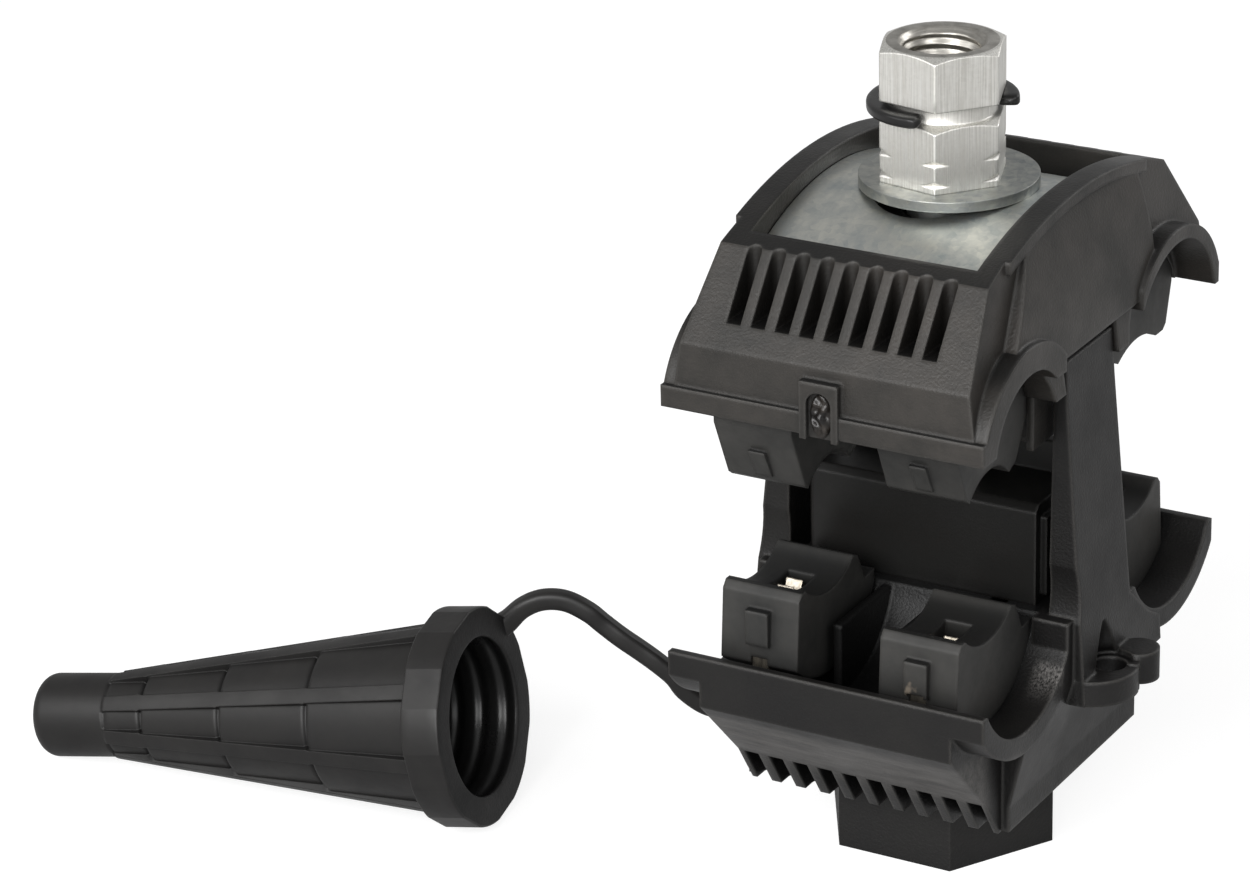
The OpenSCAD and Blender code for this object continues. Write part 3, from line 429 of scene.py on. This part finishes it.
# The torn gate
# A lumpy scar in the arched recess on the upper shell's front lip, left where the nylon was fed into
# the mould and torn off. Its height over the recess is a dome times two sine waves that fold it.
gate_half_width, gate_half_height, gate_lift = 1.32, 2.6, 0.5
gate_floor_y, gate_middle_z = -28.76, 60.75
gate_out = np.linspace(1, 0.01, 26)[:, None]
gate_turn = np.linspace(0, 2 * np.pi, 64, endpoint=False)
gate_x = gate_half_width * gate_out * np.cos(gate_turn)
gate_z = gate_middle_z + gate_half_height * gate_out * np.sin(gate_turn)
folds = 1.0 + 0.4 * np.sin(4.1 * gate_x + 1.3 * np.sin(2.2 * gate_z))
folds += 0.25 * np.sin(5.0 * gate_z + 2.0 * gate_x)
gate_y = gate_floor_y - gate_lift * np.sqrt(1.0 - gate_out ** 2) * folds
scar = surface_mesh("torn_gate", np.stack([gate_x, gate_y, gate_z], -1) * mm)
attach(scar, "upper_half")
# Torn nylon: shinier than the moulded skin, with brown and pale stretched folds.
torn_nylon, _, _ = moulded("torn_glass_filled_nylon", "#171514", "#4d463f", rough=0.24, grain=0.5,
                           depth=0.06, edge=0.1, rub=0.3)
dress(scar, torn_nylon)

# The seals
# Blocks of soft rubber pressed into the troughs of both shells. Each has a groove for its cable, a
# slot for the teeth and a small tab in front.

# Seal rubber: dark grey, dull, with the smears that handling leaves on it.
seal_rubber, tree, shader = moulded("seal_rubber", "#262625", "#393836", rough=0.5, grain=1.2, depth=0.02,
                                    edge=0.6, rub=0.2)
# Painted shade: faces that look up are darkened.
paint_shade_on_tops(tree, shader)
# A tan smear of old grease has dried on the right-hand lower tab. Its ragged rim is the distance from
# its middle plus noise.
smear_middle, smear_grain, smear_raggedness = (9.0 * mm, -26.2 * mm, 29.3 * mm), 0.6667 * mm, 2.2 * mm
spot = add_node(tree, "ShaderNodeTexCoord").outputs["Object"]
away = add_node(tree, "ShaderNodeVectorMath", {"operation": "DISTANCE", "1": smear_middle}, i0=spot)
ragged = add_node(tree, "ShaderNodeTexNoise", {"Scale": 1.0 / smear_grain, "Detail": 4.0}, Vector=spot)
smear_rim = add_node(tree, "ShaderNodeMath", {"operation": "MULTIPLY_ADD", "1": smear_raggedness},
                     i0=ragged.outputs["Fac"], i2=away.outputs["Value"])
dried = add_node(tree, "ShaderNodeMapRange", {"From Min": 1.9 * mm, "From Max": 1.3 * mm, "To Max": 0.7},
                 Value=smear_rim.outputs[0])
lay_over(tree, shader, "#6b6257", dried.outputs[0])
for name in nodes:
    if name.startswith("seal_"):
        dress(nodes[name], seal_rubber)


# The blades
# Four toothed plates, stamped from brass and tinned, that bite through the cables' insulation.
# They stand in slots across each shell and only their tips show through the seals.
def plated(name, dull, bright, rough, flake, streak, shares):
    """Bare or plated metal, with sizes in millimetres. Tone and gloss follow the weighted mean of
    three patterns: cells of the flake's size, a cloud over most of a centimetre, and noise drawn out
    to the streak's three sizes. Shares are their weights, which add up to one; the same mean
    scratches the surface."""
    material, tree = new_material(name)
    spot = add_node(tree, "ShaderNodeTexCoord").outputs["Object"]
    cells = add_node(tree, "ShaderNodeTexVoronoi", {"Scale": 1.0 / (flake * mm), "Randomness": 1.0},
                     Vector=spot)
    shade = add_node(tree, "ShaderNodeSeparateColor", Color=cells.outputs["Color"])
    cloud = add_node(tree, "ShaderNodeTexNoise",
                     {"Scale": 1.0 / (8.333 * mm), "Detail": 6.0, "Roughness": 0.7}, Vector=spot)
    drawn = add_node(tree, "ShaderNodeMapping", {"Scale": tuple(1.0 / (mm * np.array(streak)))}, Vector=spot)
    lines = add_node(tree, "ShaderNodeTexNoise", {"Scale": 1.0, "Detail": 3.0}, Vector=drawn.outputs[0])
    mixed = add_node(tree, "ShaderNodeMath", {"operation": "MULTIPLY", "1": shares[0]}, i0=shade.outputs[0])
    for source, share in ((cloud, shares[1]), (lines, shares[2])):
        mixed = add_node(tree, "ShaderNodeMath", {"operation": "MULTIPLY_ADD", "1": share},
                         i0=source.outputs["Fac"], i2=mixed.outputs[0])
    spread = add_node(tree, "ShaderNodeMapRange", {"From Min": 0.36, "From Max": 0.64},
                      Value=mixed.outputs[0])
    tone = add_node(tree, "ShaderNodeMix", {"data_type": "RGBA", "6": linear(dull), "7": linear(bright)},
                    i0=spread.outputs[0])
    gloss = add_node(tree, "ShaderNodeMapRange", {"To Min": rough + 0.08, "To Max": rough - 0.08},
                     Value=spread.outputs[0])
    round_edge = add_node(tree, "ShaderNodeBevel", {"samples": 6, "Radius": 0.2 * mm})
    lifted = add_node(tree, "ShaderNodeBump", {"Strength": 1.0, "Distance": 0.008 * mm},
                      Height=mixed.outputs[0], Normal=round_edge.outputs[0])
    shader = add_node(tree, "ShaderNodeBsdfPrincipled", {"Metallic": 1.0}, **{
        "Base Color": tone.outputs[2], "Roughness": gloss.outputs[0], "Normal": lifted.outputs[0]})
    add_node(tree, "ShaderNodeOutputMaterial", Surface=shader.outputs[0])
    return material


# Tinned brass: pale and warm, with stamping lines up the blade.
tinned_brass = plated("tinned_brass", "#8f877a", "#c2bbae", rough=0.35, flake=0.6,
                      streak=(0.3333, 0.3333, 5.0), shares=(0.1, 0.4, 0.5))
for name in nodes:
    if name.startswith("blade_"):
        dress(nodes[name], tinned_brass)

# The bolt, plate and washer
# A zinc plated hexagon bolt runs up from the boss through both shells. The arched plate spreads its
# pull over the upper shell, and the washer lies on the plate under the nut.

# Zinc plating: satin grey, bluish where dull and yellowish where bright, with faint crystal flakes.
zinc = plated("zinc_plated_steel", "#a3a9aa", "#d5d5cd", rough=0.4, flake=0.9,
              streak=(1.111, 4.0, 1.111), shares=(0.1, 0.65, 0.25))
for name in ("clamp_bolt", "pressure_plate"):
    dress(nodes[name], zinc)
# Barrel plated zinc: the washer was tumbled in the bath, so it is greyer and duller than the plate.
tumbled_zinc = plated("tumbled_zinc_plated_steel", "#7f8485", "#b2b2ab", rough=0.42, flake=0.9,
                      streak=(1.111, 1.111, 1.111), shares=(0.1, 0.65, 0.25))
dress(nodes["flat_washer"], tumbled_zinc)

# The shear nut
# Turned from drawn aluminium bar: two hexagons joined by a thin neck. The upper one breaks off at the
# right torque. The lower one's corners are staked in two rows, and the bore is threaded.

# Sizes are in millimetres, and heights are above the table.
nut_low, nut_neck, nut_crest, nut_high = 78.9, 86.3, 88.2, 94.2
half_key, corner_r, neck_r, bore_r = 6.5, 7.506, 5.9, 4.08
stake_floors, stake_height = np.array([79.7, 82.1]), 0.75
thread_pitch, thread_root_r, thread_depth = 1.25, 4.05, 0.4
chamfer_height, chamfer_slope = 0.553, 2.0
corner_turn = math.radians(-10.4)
nut_columns = 360
nut_turn = np.linspace(0, 2 * np.pi, nut_columns, endpoint=False)
from_corner = np.abs((nut_turn + np.pi / 6) % (np.pi / 3) - np.pi / 6)
hexagon = half_key / np.cos(np.pi / 6 - from_corner)


def chamfered(z, top):
    """Radius of the cone that trims a hexagon's corners: from a little below the top it falls evenly,
    by the slope for each step up."""
    return corner_r - chamfer_slope * (z - top + chamfer_height)


# The skin goes up the outside, over the top face and down the bore. Each row is a height and a radius
# to which the hexagon is trimmed, and a staked notch is a wedge that is deepest at its floor.
low_z = np.concatenate([[nut_low, nut_low + 0.1], np.linspace(nut_low + 0.2, nut_neck - 0.6, 90)])
rise = low_z[:, None] - stake_floors
notch = np.where((rise >= -0.02) & (rise <= stake_height), stake_height - rise, 0.0).max(1)
low_top_z = np.linspace(nut_neck - 0.55, nut_neck, 12)
high_top_z = np.linspace(nut_high - 0.55, nut_high - 0.06, 12)
thread_z = np.linspace(93.45, 88.2, 110)
nut_outside = np.vstack([
    np.column_stack([low_z, corner_r - notch]),
    np.column_stack([low_top_z, chamfered(low_top_z, nut_neck)]),
    [(86.32, 6.1), (86.4, 5.95), (86.5, neck_r), (88.0, neck_r), (88.12, 5.95), (88.18, 6.1)],
    [(nut_crest, 7.4)],
    [(z, corner_r) for z in (nut_crest + 0.08, 90.0, 92.0, nut_high - 0.62)],
    np.column_stack([high_top_z, chamfered(high_top_z, nut_high)]),
    [(94.16, 6.44), (94.19, 6.36), (nut_high, 6.2), (nut_high, 5.2), (94.19, 5.0), (94.15, 4.92)],
    [(93.9, 4.66), (93.6, 4.4)]])
nut_bore = np.array([(z, bore_r) for z in (88.0, 87.0, 80.0, nut_low)]
                        + [(nut_low, 5.2), (nut_low, 6.3)])
# The thread is a zigzag that climbs by one pitch in each turn.
lead = (thread_z[:, None] / thread_pitch - nut_turn / (2 * np.pi)) % 1.0
thread_r = thread_root_r + thread_depth * np.abs(2.0 * lead - 1.0)
nut_z = np.concatenate([nut_outside[:, 0], thread_z, nut_bore[:, 0]])
nut_r = np.vstack([np.minimum(hexagon, nut_outside[:, 1:]), thread_r,
                   np.minimum(hexagon, nut_bore[:, 1:])])
skin = np.stack([nut_r * np.cos(nut_turn + corner_turn), nut_r * np.sin(nut_turn + corner_turn),
                 np.broadcast_to(nut_z[:, None], nut_r.shape)], -1)
nut = surface_mesh("threaded_shear_nut", skin * mm, closed_rows=True)
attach(nut, "nut")
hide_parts("shear_nut")
# Drawn aluminium: almost white, satin, with fine lines along the bar and duller patches.
aluminium = plated("drawn_aluminium", "#cac8c2", "#f2f1ec", rough=0.46, flake=0.4,
                   streak=(0.2222, 0.2222, 7.143), shares=(0.05, 0.25, 0.7))
dress(nut, aluminium)
# The same bar cut by the lathe, on the top face and in the threaded bore: duller, with fine rings. In the
# bore the darker tone is also painted shade.
lathe_cut_and_bore_shade = plated("turned_aluminium_and_bore_shade", "#8a8781", "#c4c1ba", rough=0.36, flake=0.4,
                   streak=(2.0, 2.0, 0.2), shares=(0.05, 0.45, 0.5))
nut.data.materials.append(lathe_cut_and_bore_shade)
mean_r = nut_r.mean(1)
top_face = (mean_r < 6.3) & (nut_z > nut_crest - 0.05)
cut_and_shaded_bore = top_face | (mean_r < 4.9)
cut_and_shaded_bore_faces = np.repeat(cut_and_shaded_bore & np.roll(cut_and_shaded_bore, -1), nut_columns)
nut.data.polygons.foreach_set("material_index", cut_and_shaded_bore_faces.astype(np.int32))

# The marker ring
# An open ring of hard black plastic, snapped into the nut's neck. Its two ends are rounded, and it
# sits a little askew. Its section is a rounded oblong that shrinks to nothing at the two ends.
ring_r, ring_half_width, ring_half_height, ring_z = 7.18, 1.2, 0.64, 87.25
end_shrink = np.array([0.02, 0.45, 0.75, 0.94])
ring_arc = np.radians(np.concatenate([[16.0, 16.6, 18.0, 20.5], np.linspace(24, 270, 120),
                                      [273.5, 276.0, 277.4, 278.0]]))
shrink = np.concatenate([end_shrink, np.ones(120), end_shrink[::-1]])[:, None]
ring_turn = np.linspace(2 * np.pi, 0, 32, endpoint=False)
bulge = rounded_square(ring_turn, power=5.0)
ring_out = ring_r + ring_half_width * shrink * bulge * np.cos(ring_turn)
ring_up = ring_half_height * shrink * bulge * np.sin(ring_turn)
hoop = np.stack([ring_out * np.cos(ring_arc)[:, None], ring_out * np.sin(ring_arc)[:, None], ring_up], -1)
askew = np.array(Matrix.Rotation(math.radians(2.0), 3, Vector((0.51, -0.86, 0.0))))
hoop = hoop @ askew.T + np.array([0.0, 0.0, ring_z])
ring = surface_mesh("rounded_marker_ring", hoop * mm)
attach(ring, "nut")
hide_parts("marker_ring")
# Hard polyamide: black and glossier than the shells.
polyamide, _, _ = moulded("black_polyamide", "#151515", "#1d1c1c", rough=0.3, grain=0.8, depth=0.015,
                          edge=0.3, rub=0.15)
dress(ring, polyamide)

# The stage
# A pale table and soft studio light: a wide lamp high in front, one lower by the camera, and weaker
# ones from the left, the right and behind.
floor_mesh = bpy.data.meshes.new("table")
floor_mesh.from_pydata([(-3, -3, 0), (3, -3, 0), (3, 3, 0), (-3, 3, 0)], [], [(0, 1, 2, 3)])
table = bpy.data.objects.new("table", floor_mesh)
bpy.context.scene.collection.objects.link(table)
# White paper: it is plain white to the camera, and to shiny pieces a dimmer sheet below.
paper_seen, paper_mirrored = 0.8, 0.3
paper, tree = new_material("white_paper")
path = add_node(tree, "ShaderNodeLightPath")
mirrored = add_node(tree, "ShaderNodeMath", {"operation": "MULTIPLY", "1": paper_mirrored},
                    i0=path.outputs["Is Glossy Ray"])
seen = add_node(tree, "ShaderNodeMath", {"operation": "MULTIPLY_ADD", "1": paper_seen},
                i0=path.outputs["Is Camera Ray"], i2=mirrored.outputs[0])
glow = add_node(tree, "ShaderNodeEmission", {"Color": linear("#ffffff")}, Strength=seen.outputs[0])
matt = add_node(tree, "ShaderNodeBsdfDiffuse", {"Color": linear("#a0a0a0")})
both = add_node(tree, "ShaderNodeAddShader", i0=glow.outputs[0], i1=matt.outputs[0])
add_node(tree, "ShaderNodeOutputMaterial", Surface=both.outputs[0])
dress(table, paper)
# The room is white to the camera, grey to shiny pieces, and gives a faint light from all round.
room_seen, room_mirrored, room_light = 0.87, 0.3, 0.13
world = bpy.data.worlds.new("studio")
bpy.context.scene.world = world
world.use_nodes = True
tree = world.node_tree
tree.nodes.clear()
path = add_node(tree, "ShaderNodeLightPath")
mirrored = add_node(tree, "ShaderNodeMath",
                    {"operation": "MULTIPLY_ADD", "1": room_mirrored, "2": room_light},
                    i0=path.outputs["Is Glossy Ray"])
seen = add_node(tree, "ShaderNodeMath", {"operation": "MULTIPLY_ADD", "1": room_seen},
                i0=path.outputs["Is Camera Ray"], i2=mirrored.outputs[0])
white = add_node(tree, "ShaderNodeBackground", {"Color": linear("#ffffff")}, Strength=seen.outputs[0])
add_node(tree, "ShaderNodeOutputWorld", Surface=white.outputs[0])


def lamp(name, where, aim, watts):
    """A disc-shaped lamp, half a metre across, at a place and turned towards its aim."""
    light = bpy.data.lights.new(name, "AREA")
    light.shape = "DISK"
    light.size = 0.5
    light.energy = watts
    obj = bpy.data.objects.new(name, light)
    bpy.context.scene.collection.objects.link(obj)
    obj.location = where
    obj.rotation_euler = (Vector(aim) - Vector(where)).to_track_quat("-Z", "Y").to_euler()


lamp("key_lamp", (-0.1, -0.8, 0.5), (0, 0, 0.05), 6.5)
lamp("front_lamp", (0.3, -0.85, 0.35), (0, 0, 0.04), 5.0)
lamp("left_lamp", (-0.7, -0.6, 0.5), (-0.02, 0, 0.04), 2.2)
lamp("right_lamp", (0.6, -0.25, 0.6), (0, 0, 0.05), 1.8)
lamp("back_lamp", (0.45, 0.85, 0.55), (0, 0, 0.05), 2.5)

bpy.context.scene.view_settings.view_transform = "Standard"
